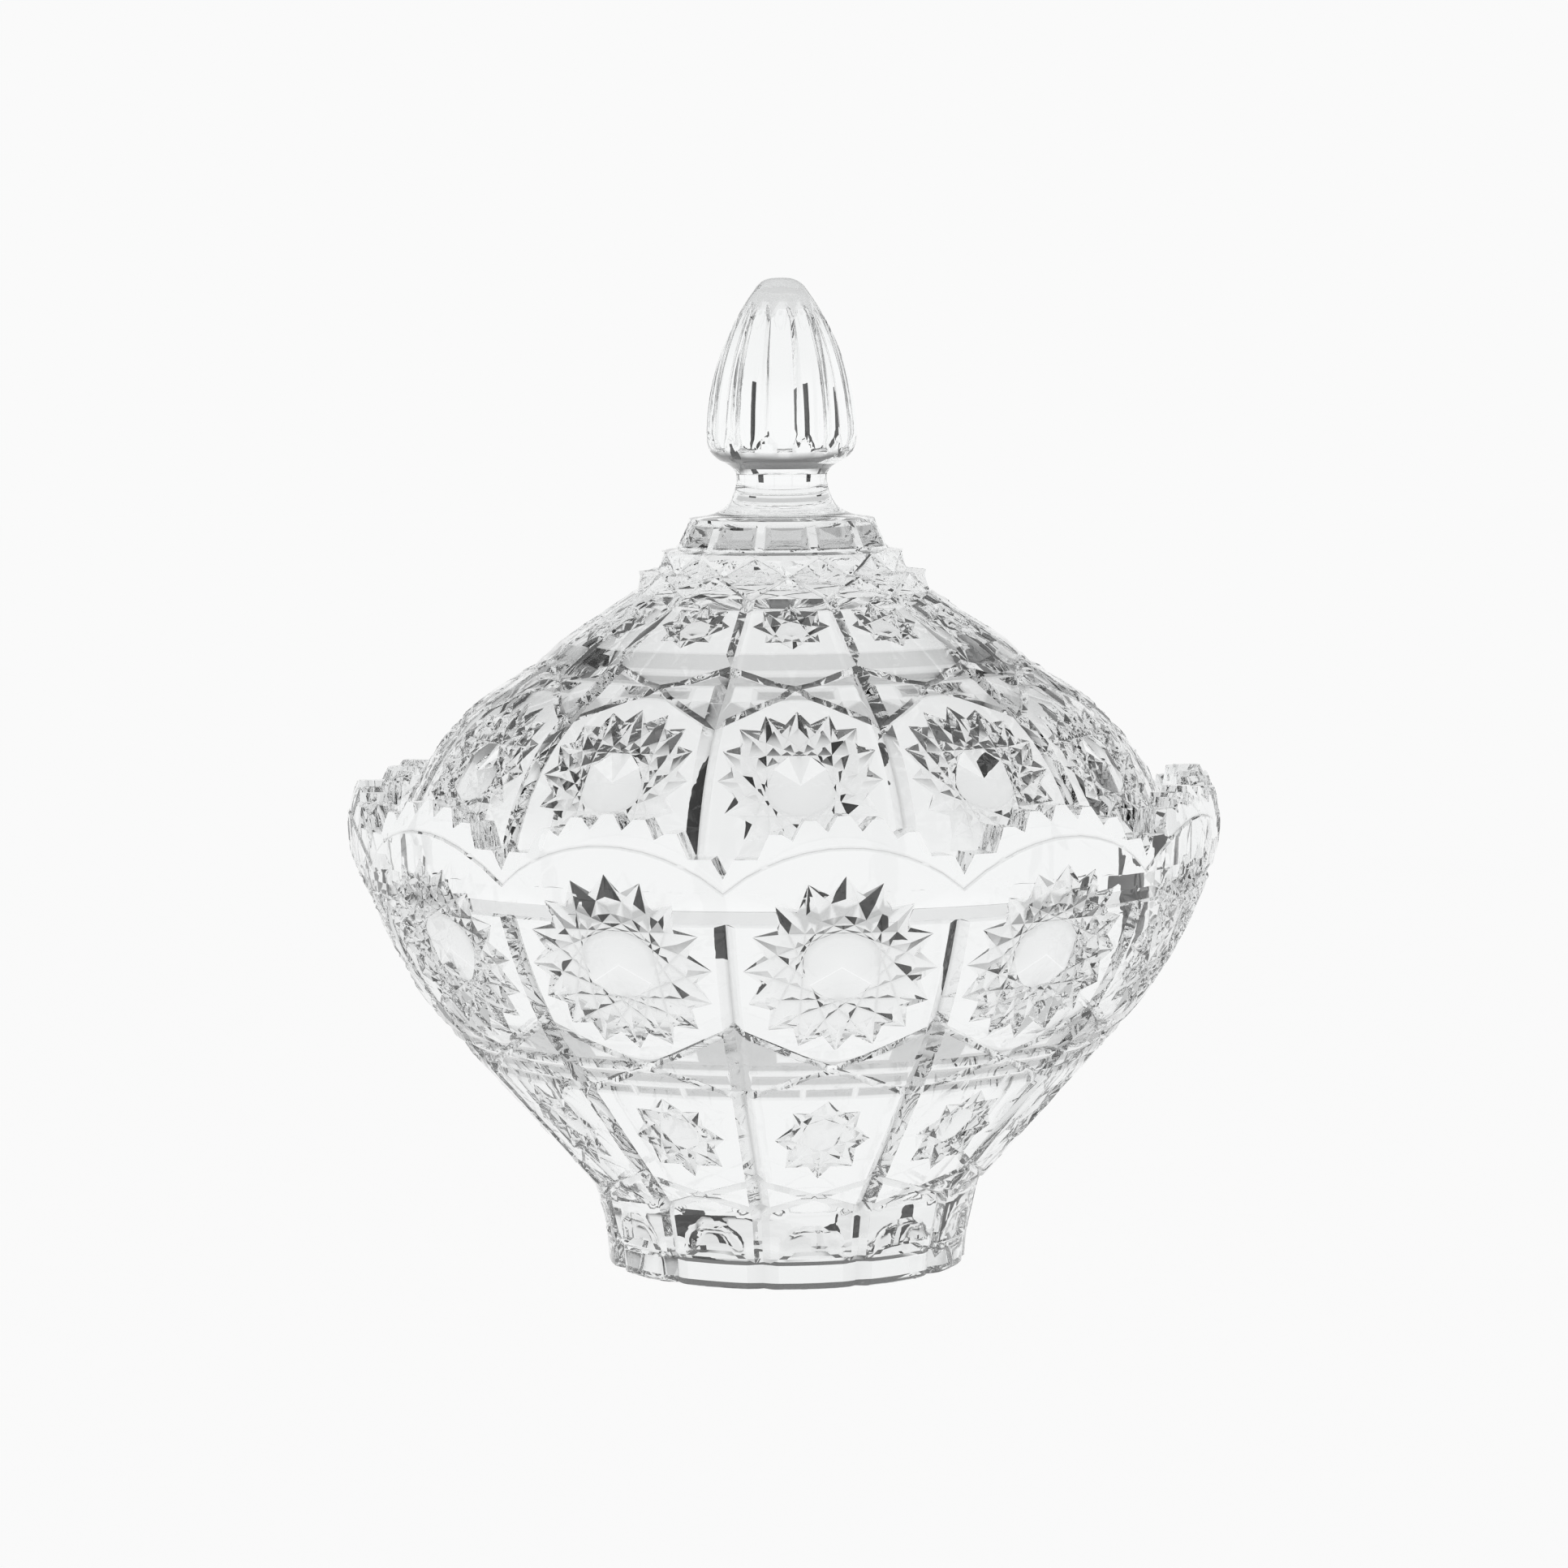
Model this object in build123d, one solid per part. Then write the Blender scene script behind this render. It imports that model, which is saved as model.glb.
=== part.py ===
from build123d import *
import math
import os

# A covered powder jar of clear pressed glass, in two pieces. Sizes are in millimetres, angles in degrees.
# The bowl stands on a ring foot and ends in a scalloped, toothed rim. The lid drops inside that rim, stands on
# a flat ledge and is centred by a lip that hangs into the throat. The origin is the centre of the resting
# plane, +Z is up and -Y is the front, where the middle of one bowl panel faces.
# A rise is measured up from the end of the stretch below, and a run is measured towards or away from the axis.
# A bow is how far the middle of a curved stretch stands out from the straight line between its ends.

# ---- the pattern that both pieces share ----
panel_count = 12
lid_turn = -4.9                 # how far the lid's panels are turned from the bowl's, about +Z

# ---- bowl: foot ----
foot_radius = 30.8              # outside of the foot where it rests
foot_height = 13.4
foot_flare = 2.4                # how much wider the foot is at its top
foot_edge = 1.0                 # chamfer round the resting edge
ring_land = 5.8                 # width of the ring that the jar stands on, chamfer included
recess_depth = 4.4              # hollow under the foot
floor_thickness = 10.0          # glass between that hollow and the cavity
base_band_height = 4.5          # plain band at the bottom of the foot, notched at each rib
base_notch_radius = 2.2
base_notch_depth = 0.9
scoop_ball = 7.0                # ball that leaves the arch-shaped scoop in each foot panel
scoop_depth = 0.9

# ---- bowl: wall and rim ----
flare_rise = 27.4               # straight wall above the foot
side_rise = 27.8                # curved wall above that, up to the belt, smooth with the flare
side_run = 16.0
rim_radius = 75.0               # the widest circle of the jar
rim_rise = 8.4                  # from the belt to the widest circle
rim_run = 1.4
rim_bow = 0.32
peak_rise = 7.4                 # from the widest circle to the tips of the middle teeth
peak_run = 1.8                  # how far those tips lean in
peak_bow = 0.49
valley_depth = 10.0             # from the tips of the middle teeth down to where two scallops meet
rim_thickness = 6.4
wall_thickness = 6.0
teeth_per_scallop = 7
tooth_notch_depth = 2.3
tooth_top_share = 0.36          # flat of a tooth as a share of its pitch

# ---- seat of the lid ----
ledge_depth = 12.4              # from the tips of the middle teeth down to where the lid stands
ledge_width = 4.4
throat_depth = 8.0              # straight part of the throat under the ledge
seat_gap = 2.3                  # between the lid's edge and the inside of the rim
lip_clearance = 0.8             # between the lip and the throat
lip_depth = 4.6
lip_thickness = 4.0

# ---- lid: dome ----
lid_wall = 5.4
lid_edge_height = 4.4           # plain edge that stands on the ledge
dome_rise = 23.8                # big panels
dome_run = 18.9
dome_bow = 3.05
band_rise = 4.7                 # two ridged rings
band_run = 6.8
strip_rise = 2.3                # plain strip
strip_run = 2.4
cone_rise = 8.4                 # small panels
cone_top_radius = 25.6
lower_step_rise = 2.6
lower_step_run = 1.2
upper_step_radius = 20.6
upper_step_rise = 3.0
tread_slope = 0.4               # rise and run of the sloping edge of the tread between the steps
collar_radius = 18.2
collar_base_rise = 1.2          # from the upper step's edge to the collar's foot
collar_height = 5.6
collar_run = 2.3
collar_recess_share = 0.8       # width of a collar block's recess as a share of its pitch
collar_recess_depth = 0.7
collar_recess_margin = 0.8      # plain collar above and below a recess
crown_rise = 3.0                # rise of the domed ceiling inside the lid

# ---- lid: knob ----
neck_radius = 7.6               # the waist under the knob
neck_rise = 6.8
neck_bow = 2.6                  # how far the flare below the waist is hollowed
root_rise = 3.0                 # from the waist to where the knob's round underside starts
root_run = 1.6
knob_radius = 12.85             # the widest circle of the knob, before its flutes
knob_under_rise = 5.6
knob_under_bow = 1.15
knob_side_rise = 23.2           # long side of the knob
knob_side_bow = 1.95
knob_nose_radius = 4.7          # where the side turns into the round tip
knob_tip_rise = 2.4
flute_radius = 11.0
flute_depth = 0.75
flute_end_depth = 0.12          # at the tip end, where the flute runs out
flute_overrun = 4.0             # angle that the cutter runs on at each end

# ---- cuts on both pieces ----
rib_width = 3.2                 # mitre cut between two panels
rib_depth = 1.3
rib_inset = 0.9                 # how far such a cut stops short of the corners at its ends
small_rib_width = 2.2
small_rib_depth = 0.9
ring_width = 2.2                # mitre cuts that run round the piece
ring_depth = 0.8
bowl_ring_rises = (26.6, 2.6, 0.6, -2.7, -5.2, -21.1)   # from the top of the flare
lid_ring_rises = (-0.9, -3.1)                           # from the top of the ridged rings
bowl_lens_radius = 5.6          # round dished lens in the middle of each big panel
bowl_lens_rise = 18.8           # from the top of the flare
lid_lens_radius = 4.9
lid_lens_rise = 12.5            # from the lid's edge
lens_depth = 0.9
tool_margin = 3.0               # how far a cutting tool stands out of the glass

# ---- worked out from the sizes above ----
panel_pitch = 360.0 / panel_count
tooth_pitch = panel_pitch / teeth_per_scallop

# points of the bowl's outline, as distance from the axis and height
foot_top = (foot_radius + foot_flare, foot_height)
flare_top = (rim_radius - rim_run - side_run, foot_height + flare_rise)
belt = (rim_radius - rim_run, flare_top[1] + side_rise)
widest = (rim_radius, belt[1] + rim_rise)
rim_peak = (rim_radius - peak_run, widest[1] + peak_rise)
rim_valley_height = rim_peak[1] - valley_depth
rim_inner_radius = rim_radius - rim_thickness
ledge_height = rim_peak[1] - ledge_depth
throat_radius = rim_inner_radius - ledge_width
recess_radius = foot_radius - ring_land
cavity_floor = recess_depth + floor_thickness

# points of the lid's outline
lip_radius = throat_radius - lip_clearance
lip_bottom = ledge_height - lip_depth
lid_inner_radius = lip_radius - lip_thickness
lid_edge = (rim_inner_radius - seat_gap, ledge_height + lid_edge_height)
dome_top = (lid_edge[0] - dome_run, lid_edge[1] + dome_rise)
band_top = (dome_top[0] - band_run, dome_top[1] + band_rise)
shoulder = (band_top[0] - strip_run, band_top[1] + strip_rise)
cone_top = (cone_top_radius, shoulder[1] + cone_rise)
lower_step = (cone_top_radius - lower_step_run, cone_top[1] + lower_step_rise)
lower_tread = (upper_step_radius + tread_slope, lower_step[1] + tread_slope)
upper_step = (upper_step_radius, lower_step[1] + upper_step_rise)
collar_base = (collar_radius, upper_step[1] + collar_base_rise)
collar_top = (collar_radius - collar_run, collar_base[1] + collar_height)
waist = (neck_radius, collar_top[1] + neck_rise)
knob_root = (neck_radius + root_run, waist[1] + root_rise)
knob_widest = (knob_radius, knob_root[1] + knob_under_rise)
knob_nose = (knob_nose_radius, knob_widest[1] + knob_side_rise)
total_height = knob_nose[1] + knob_tip_rise


def line(a, b):
    return Edge.make_line((a[0], 0, a[1]), (b[0], 0, b[1]))


def bowed(a, b, bow):
    """An arc from a up to b. A positive bow stands out from the axis and a negative one is hollow."""
    along = Vector(b[0] - a[0], 0, b[1] - a[1]).normalized()
    middle = Vector((a[0] + b[0]) / 2, 0, (a[1] + b[1]) / 2) + Vector(along.Z, 0, -along.X) * bow
    return Edge.make_three_point_arc((a[0], 0, a[1]), middle, (b[0], 0, b[1]))


def arc_from(a, direction, b):
    """An arc that leaves a in a given direction and ends at b."""
    return Edge.make_tangent_arc((a[0], 0, a[1]), Vector(direction), (b[0], 0, b[1]))


def lathe(edges):
    """The solid that an outline in the XZ plane leaves when it turns about the axis. Its seam is between cuts."""
    return Rot(0, 0, panel_pitch / 4) * revolve(make_face(Wire(edges)), Axis.Z)


def all_round(tool, start=0.0):
    """One copy of a tool per panel. The tool is made along +X, and the first copy faces the front."""
    return [Rot(0, 0, start - 90 + panel_pitch * k) * tool for k in range(panel_count)]


def at_height(edges, height):
    """Point and outward direction of a climbing chain of edges at a height."""
    for edge in edges:
        if (edge @ 0).Z <= height <= (edge @ 1).Z:
            low, high = 0.0, 1.0
            for _ in range(40):
                half = (low + high) / 2
                if (edge @ half).Z < height:
                    low = half
                else:
                    high = half
            along = edge % low
            return edge @ low, Vector(along.Z, 0, -along.X)
    raise ValueError(f"the outline has no point at height {height}")


# ---- cutting tools ----
def mitre_section(plane, outward, width, depth):
    """A V as wide as width at the surface and depth deep, on a plane whose origin is on the surface."""
    side = 1 if plane.y_dir.dot(outward) > 0 else -1
    reach = width / 2 * (1 + tool_margin / depth)
    return plane * make_face(Polyline((-reach, side * tool_margin), (0, -side * depth),
                                      (reach, side * tool_margin), close=True))


def held_back(edges):
    """A chain of edges that stops rib_inset short of its two ends."""
    edges = list(edges)
    edges[0] = edges[0].trim(rib_inset / edges[0].length, 1)
    edges[-1] = edges[-1].trim(0, 1 - rib_inset / edges[-1].length)
    return edges


def mitre_tool(edges, width, depth):
    """A V cut that climbs the surface along a chain of edges."""
    path = Wire(held_back(edges))
    along = path % 0
    plane = Plane(origin=path @ 0, x_dir=(0, 1, 0), z_dir=along)
    return sweep(mitre_section(plane, Vector(along.Z, 0, -along.X), width, depth), path=path)


def ring_tool(edges, height):
    """A V cut that runs round the piece at a height of its outline."""
    point, outward = at_height(edges, height)
    plane = Plane(origin=point, x_dir=(outward.Z, 0, -outward.X), z_dir=(0, 1, 0))
    return revolve(mitre_section(plane, outward, ring_width, ring_depth), Axis.Z)


def lens_tool(edges, height, lens_radius):
    """The ball that leaves a round dished lens in the surface."""
    point, outward = at_height(edges, height)
    ball_radius = (lens_radius ** 2 + lens_depth ** 2) / (2 * lens_depth)
    return Pos(*(point + outward * (ball_radius - lens_depth))) * Sphere(ball_radius)


# ---- bowl ----
def bowl_wall():
    """The outside of the bowl between the foot and the belt, as a chain of edges."""
    flare = line(foot_top, flare_top)
    return [flare, arc_from(flare_top, flare % 1, belt)]


def bowl_blank():
    flare, side = bowl_wall()
    outside = [
        line((recess_radius, 0), (foot_radius - foot_edge, 0)),
        line((foot_radius - foot_edge, 0), (foot_radius, foot_edge)),
        line((foot_radius, foot_edge), foot_top),
        flare,
        side,
        bowed(belt, widest, rim_bow),
        bowed(widest, rim_peak, peak_bow),
    ]
    along = flare % 0
    inward = Vector(-along.Z, 0, along.X) * wall_thickness
    foot_inside = (flare @ 0) + inward
    bend_inside = (flare @ 1) + inward
    floor_edge = foot_inside + along * ((cavity_floor - foot_inside.Z) / along.Z)
    throat_bottom = (throat_radius, ledge_height - throat_depth)
    inside = [
        line(rim_peak, (rim_inner_radius, rim_peak[1])),
        line((rim_inner_radius, rim_peak[1]), (rim_inner_radius, ledge_height)),
        line((rim_inner_radius, ledge_height), (throat_radius, ledge_height)),
        line((throat_radius, ledge_height), throat_bottom),
        arc_from((bend_inside.X, bend_inside.Z), along, throat_bottom),
        line((bend_inside.X, bend_inside.Z), (floor_edge.X, cavity_floor)),
        line((floor_edge.X, cavity_floor), (0, cavity_floor)),
        line((0, cavity_floor), (0, recess_depth)),
        line((0, recess_depth), (recess_radius, recess_depth)),
        line((recess_radius, recess_depth), (recess_radius, 0)),
    ]
    return lathe(outside + inside)


def scallop_height(angle):
    """Height of a scallop's arch at an angle from its middle."""
    half_chord = rim_radius * math.sin(math.radians(panel_pitch / 2))
    arch_radius = (half_chord ** 2 + valley_depth ** 2) / (2 * valley_depth)
    across = rim_radius * math.sin(math.radians(angle))
    return rim_peak[1] - arch_radius + math.sqrt(arch_radius ** 2 - across ** 2)


def tooth_line():
    """Angles and heights along the teeth of one scallop, from valley to valley."""
    points = [(-panel_pitch / 2, rim_valley_height)]
    half_top = tooth_pitch * tooth_top_share / 2
    for tooth in range(teeth_per_scallop):
        middle = (tooth - (teeth_per_scallop - 1) / 2) * tooth_pitch
        if tooth:
            notch = middle - tooth_pitch / 2
            points.append((notch, scallop_height(notch) - tooth_notch_depth))
        points.append((middle - half_top, scallop_height(middle)))
        points.append((middle + half_top, scallop_height(middle)))
    points.append((panel_pitch / 2, rim_valley_height))
    return points


def scallop_tool():
    """Everything above the teeth of one scallop. Its sides run towards the axis."""
    above = rim_peak[1] + tool_margin
    sections = []
    for radius in (lid_inner_radius, rim_radius + tool_margin):
        corners = [(radius, radius * math.tan(math.radians(angle)), height) for angle, height in tooth_line()]
        corners += [(radius, corners[-1][1], above), (radius, corners[0][1], above)]
        sections.append(make_face(Wire.make_polygon(corners)))
    return loft(sections, ruled=True)


def bowl():
    wall = bowl_wall()
    scoop = Pos(foot_radius + scoop_ball - scoop_depth, 0, base_band_height) * Sphere(scoop_ball)
    scoop &= Pos(foot_radius, 0, base_band_height + scoop_ball) * Box(
        4 * scoop_ball, 4 * scoop_ball, 2 * scoop_ball)
    notch = Pos(foot_radius + base_notch_radius - base_notch_depth, 0, base_band_height / 2) * Cylinder(
        base_notch_radius, base_band_height + 2 * foot_edge)
    body = bowl_blank()
    body -= [ring_tool(wall, flare_top[1] + rise) for rise in bowl_ring_rises]
    body -= all_round(scallop_tool())
    body -= all_round(mitre_tool(wall, rib_width, rib_depth), start=panel_pitch / 2)
    body -= all_round(lens_tool(wall, flare_top[1] + bowl_lens_rise, bowl_lens_radius))
    body -= all_round(scoop)
    body -= all_round(notch, start=panel_pitch / 2)
    return body


# ---- lid ----
def lid_dome():
    """The outside of the lid from its plain edge to the ridged rings, as a chain of edges."""
    return [bowed(lid_edge, dome_top, dome_bow), line(dome_top, band_top)]


def knob_side():
    return bowed(knob_widest, knob_nose, knob_side_bow)


def lid_blank():
    neck_flare = bowed(collar_top, waist, -neck_bow)
    outside = [
        line((lip_radius, ledge_height), (lid_edge[0], ledge_height)),
        line((lid_edge[0], ledge_height), lid_edge),
        *lid_dome(),
        line(band_top, shoulder),
        line(shoulder, cone_top),
        line(cone_top, lower_step),
        line(lower_step, lower_tread),
        line(lower_tread, upper_step),
        line(upper_step, collar_base),
        line(collar_base, collar_top),
        neck_flare,
        arc_from(waist, neck_flare % 1, knob_root),
        bowed(knob_root, knob_widest, knob_under_bow),
        knob_side(),
        arc_from((0, total_height), (1, 0, 0), knob_nose),
    ]
    slope = math.atan2(cone_top[1] - shoulder[1], shoulder[0] - cone_top[0])
    inset_radius = lid_wall * math.sin(slope)
    inset_height = lid_wall * math.cos(slope)
    inner_cone_top = (cone_top[0] - inset_radius, cone_top[1] - inset_height)
    inner_cone_foot = (dome_top[0] - inset_radius, dome_top[1] - inset_height)
    crown = (0, inner_cone_top[1] + crown_rise)
    inside = [
        line((0, total_height), crown),
        arc_from(crown, (1, 0, 0), inner_cone_top),
        line(inner_cone_top, inner_cone_foot),
        arc_from((lid_inner_radius, ledge_height), (0, 0, 1), inner_cone_foot),
        line((lid_inner_radius, ledge_height), (lid_inner_radius, lip_bottom)),
        line((lid_inner_radius, lip_bottom), (lip_radius, lip_bottom)),
        line((lip_radius, lip_bottom), (lip_radius, ledge_height)),
    ]
    return lathe(outside + inside)


def flute_tool():
    """A round bar bent along the side of the knob. It sinks by flute_depth and runs out towards the tip."""
    side = knob_side()
    stations = []
    for t, depth in ((0, flute_depth), (0.5, flute_depth), (1, flute_end_depth)):
        along = side % t
        stations.append((side @ t) + Vector(along.Z, 0, -along.X) * (flute_radius - depth))
    bar = Edge.make_three_point_arc(*stations)
    sweep_angle = math.degrees(bar.length / bar.radius)
    plane = Plane(origin=bar.arc_center, x_dir=bar @ 0 - bar.arc_center, z_dir=(0, -1, 0))
    path = plane * Edge.make_circle(bar.radius, start_angle=-flute_overrun, end_angle=sweep_angle + flute_overrun)
    return sweep(Plane(origin=path @ 0, z_dir=path % 0) * Circle(flute_radius), path=path)


def collar_tool():
    """The block that leaves one recess in the collar's sloping side."""
    middle_radius = collar_radius - collar_run / 2
    lean = math.degrees(math.atan2(collar_run, collar_height))
    width = collar_recess_share * 2 * middle_radius * math.tan(math.radians(panel_pitch / 2))
    length = math.hypot(collar_run, collar_height) - 2 * collar_recess_margin
    block = Pos(tool_margin / 2 - collar_recess_depth, 0, 0) * Box(tool_margin, width, length)
    return Pos(middle_radius, 0, collar_base[1] + collar_height / 2) * Rot(0, -lean, 0) * block


def lid():
    dome = lid_dome()
    between = panel_pitch / 2
    body = lid_blank()
    body -= [ring_tool(dome, band_top[1] + rise) for rise in lid_ring_rises]
    body -= all_round(mitre_tool(dome[:1], rib_width, rib_depth), start=between)
    body -= all_round(mitre_tool([line(shoulder, cone_top)], small_rib_width, small_rib_depth), start=between)
    body -= all_round(lens_tool(dome, lid_edge[1] + lid_lens_rise, lid_lens_radius))
    body -= all_round(collar_tool())
    body -= all_round(flute_tool())
    return Rot(0, 0, lid_turn) * body


if __name__ == "__main__":
    os.makedirs("parts", exist_ok=True)
    for name, solid in (("bowl", bowl()), ("lid", lid())):
        export_step(solid, f"parts/{name}.step")
        size = solid.bounding_box().size
        print(f"{name}: {len(solid.solids())} solid, {solid.volume:.0f} mm3, "
              f"{size.X:.1f} x {size.Y:.1f} x {size.Z:.1f} mm")
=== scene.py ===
import bpy
import bmesh
import math
from mathutils import Matrix, Vector


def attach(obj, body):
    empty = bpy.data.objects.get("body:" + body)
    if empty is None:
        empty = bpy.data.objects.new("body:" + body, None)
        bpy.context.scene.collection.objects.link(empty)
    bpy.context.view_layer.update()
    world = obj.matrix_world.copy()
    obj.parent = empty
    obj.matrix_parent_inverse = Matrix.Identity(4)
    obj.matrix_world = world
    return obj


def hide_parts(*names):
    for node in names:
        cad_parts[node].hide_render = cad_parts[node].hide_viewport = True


# Covered powder jar in clear pressed glass: bowl and lid.
# The cut pattern of one panel is scored on a flat sheet in millimetres, its cuts are sunk, and the sheet
# is wrapped on the outline of the piece. Twelve copies close the ring, and the inside is pulled from it.

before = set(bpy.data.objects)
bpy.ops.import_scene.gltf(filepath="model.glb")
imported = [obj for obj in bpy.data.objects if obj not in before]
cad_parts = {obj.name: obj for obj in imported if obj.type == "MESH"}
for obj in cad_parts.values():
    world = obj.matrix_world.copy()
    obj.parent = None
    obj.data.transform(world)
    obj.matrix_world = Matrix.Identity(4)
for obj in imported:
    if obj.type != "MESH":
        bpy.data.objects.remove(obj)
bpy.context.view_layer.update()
bpy.ops.object.select_all(action="DESELECT")
print("frame loaded")

mm = 0.001
panelCount = 12
panelTurn = math.tau / panelCount
sheetRadius = 60.0   # the sheet is as wide as a panel is at this radius
halfSheet = sheetRadius * panelTurn / 2
hair = 0.01          # two places on the sheet closer than this are one
gentleTurn = 0.97    # cosine of the turn up to which an outline is rounded
creaseAngle = 18     # facets that meet at less than this are shaded as one


# outlines: the side of a piece as radius and height, measured along its length
def makeForm(start, runs):
    # climbs from start; a run is (end radius, end height, how far its middle bows out)
    points = [Vector(start)]
    for radius, height, bow in runs:
        low, high = points[-1].copy(), Vector((radius, height))
        outward = Vector((high.y - low.y, low.x - high.x)).normalized()
        steps = max(4, round((high - low).length / 1.2)) if bow else 1
        for step in range(1, steps + 1):
            t = step / steps
            points.append(low.lerp(high, t) + outward * bow * (1 - (2 * t - 1) ** 2))
    lengths = [0.0]
    for low, high in zip(points, points[1:]):
        lengths.append(lengths[-1] + (high - low).length)
    normals = []
    for low, high in zip(points, points[1:]):
        normals.append(Vector((high.y - low.y, low.x - high.x)).normalized())
    return {"points": points, "lengths": lengths, "normals": normals}


def onForm(form, along):
    # point and outward direction of the outline at a length along it
    lengths, points, normals = form["lengths"], form["points"], form["normals"]
    last = len(normals) - 1
    along = min(max(along, 0.0), lengths[-1])
    piece = 0
    while piece < last and lengths[piece + 1] < along:
        piece += 1
    t = (along - lengths[piece]) / (lengths[piece + 1] - lengths[piece])
    point = points[piece].lerp(points[piece + 1], t)
    near = normals[max(piece - 1, 0)] if t < 0.5 else normals[min(piece + 1, last)]
    normal = normals[piece]
    if near.dot(normal) > gentleTurn:   # a corner is kept
        normal = normal.lerp((near + normal) / 2, abs(2 * t - 1)).normalized()
    return point, normal


def lengthAt(form, height):
    # length along the outline at which it reaches a height
    points, lengths = form["points"], form["lengths"]
    for i in range(len(points) - 1):
        if points[i].y <= height <= points[i + 1].y:
            t = (height - points[i].y) / (points[i + 1].y - points[i].y)
            return lengths[i] + t * (lengths[i + 1] - lengths[i])
    raise ValueError(f"the outline never reaches {height}")


def radiusAt(form, height):
    return onForm(form, lengthAt(form, height))[0].x


# scoring lines on the sheet
def blankSheet(name, form):
    # right half of a panel; the left half is its mirror image
    tall = form["lengths"][-1]
    bpy.ops.mesh.primitive_plane_add(size=1, location=(halfSheet / 2, tall / 2, 0))
    sheet = bpy.context.object
    sheet.name = name
    sheet.scale = (halfSheet, tall, 1)
    bpy.ops.object.transform_apply(location=True, scale=True)
    bpy.ops.object.mode_set(mode="EDIT")
    bpy.ops.mesh.select_mode(type="FACE")
    return sheet


def pickFaces(wanted):
    bpy.ops.mesh.select_all(action="DESELECT")
    mesh = bmesh.from_edit_mesh(bpy.context.edit_object.data)
    found = 0
    for face in mesh.faces:
        if wanted(face):
            face.select_set(True)
            found += 1
    bmesh.update_edit_mesh(bpy.context.edit_object.data)
    return found


def mirrorSheet(sheet):
    # the left half is added, and faces that the middle line splits are made whole again
    bpy.ops.object.mode_set(mode="OBJECT")
    mirror = sheet.modifiers.new("leftHalf", "MIRROR")
    mirror.merge_threshold = 0.002
    bpy.ops.object.modifier_apply(modifier=mirror.name)
    bpy.ops.object.mode_set(mode="EDIT")
    bpy.ops.mesh.select_mode(type="EDGE")
    bpy.ops.mesh.select_all(action="DESELECT")
    mesh = bmesh.from_edit_mesh(sheet.data)
    for edge in mesh.edges:
        edge.select_set(all(abs(vert.co.x) < 0.002 for vert in edge.verts) and not edge.is_boundary)
    bmesh.update_edit_mesh(sheet.data)
    bpy.ops.mesh.dissolve_edges()
    bpy.ops.mesh.select_mode(type="FACE")


def centreTest(zone):
    def test(face):
        middle = face.calc_center_median()
        return zone(middle.x, middle.y)
    return test


def score(p, q, wanted):
    # one straight line through p and q across the wanted faces
    if pickFaces(wanted):
        line = (q - p).normalized()
        bpy.ops.mesh.bisect(plane_co=(p.x, p.y, 0), plane_no=(-line.y, line.x, 0), threshold=0.003)


def scoreRow(along, zone):
    score(Vector((0, along)), Vector((1, along)), centreTest(zone))


def scoreColumn(across, zone):
    score(Vector((across, 0)), Vector((across, 1)), centreTest(zone))


def everywhere(x, y):
    return True


# stars of crossing cuts
def layStar(form, look):
    # tips, chords and outline of a star; "flat" coordinates are true millimetres from its centre
    middle = lengthAt(form, look["height"])
    squeeze = onForm(form, middle)[0].x / sheetRadius
    count, skip, reach = look["points"], look["skip"], look["radius"]
    tips = []
    for k in range(count):
        turn = math.tau * k / count
        across, up = reach * math.sin(turn), reach * math.cos(turn)
        radius = onForm(form, middle + up * look["stretch"])[0].x
        tips.append(Vector((across * squeeze * sheetRadius / radius, up)))
    chords = [(tips[k], tips[(k + skip) % count]) for k in range(count)]
    spread = look["half"] / look["runOut"]
    notches = []
    for k in range(count):
        a, b = tips[k], tips[(k + 1) % count]
        fromA = outerEdge(a, tips[(k + skip) % count], spread)
        fromB = outerEdge(b, tips[(k + 1 - skip) % count], spread)
        notches.append(crossing(a, fromA, b, fromB))
    outline = [v for pair in zip(tips, notches) for v in pair]
    return {"middle": middle, "squeeze": squeeze, "tips": tips, "chords": chords, "notches": notches,
            "outline": outline, "look": look, "core": reach * math.cos(math.pi * skip / count)}


def outerEdge(tip, farTip, spread):
    # direction of a cut's outer edge as it runs in from a tip
    along = (farTip - tip).normalized()
    side = Vector((-along.y, along.x))
    if side.dot((tip + farTip) / 2) < 0:
        side = -side
    return along + side * spread


def crossing(p, d, q, e):
    across = d.x * e.y - d.y * e.x
    t = ((q.x - p.x) * e.y - (q.y - p.y) * e.x) / across
    return p + d * t


def toSheet(star, flat):
    return Vector((flat.x / star["squeeze"], flat.y * star["look"]["stretch"] + star["middle"]))


def toFlat(star, across, along):
    return Vector((across * star["squeeze"], (along - star["middle"]) / star["look"]["stretch"]))


def insideStar(star, across, along, shrink=1.0):
    p = toFlat(star, across, along) / shrink
    if p.length > star["look"]["radius"] * 1.2:
        return False
    inside = False
    edge = star["outline"]
    for a, b in zip(edge, edge[1:] + edge[:1]):
        if (a.y > p.y) != (b.y > p.y) and p.x < a.x + (b.x - a.x) * (p.y - a.y) / (b.y - a.y):
            inside = not inside
    return inside


def starDepth(star, across, along):
    look = star["look"]
    p = toFlat(star, across, along)
    if p.length < star["core"] * 1.02:
        return look["core"](p.length / star["core"])
    deepest = 0.0
    for a, b in star["chords"]:
        run = b - a
        length = run.length
        run /= length
        t = (p - a).dot(run)
        t = min(t, length - t)
        if t > 0:
            off = abs((p - a).x * run.y - (p - a).y * run.x)
            deepest = max(deepest, min(1.0, t / look["runOut"]) - off / look["half"])
    return deepest * look["depth"]


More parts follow.
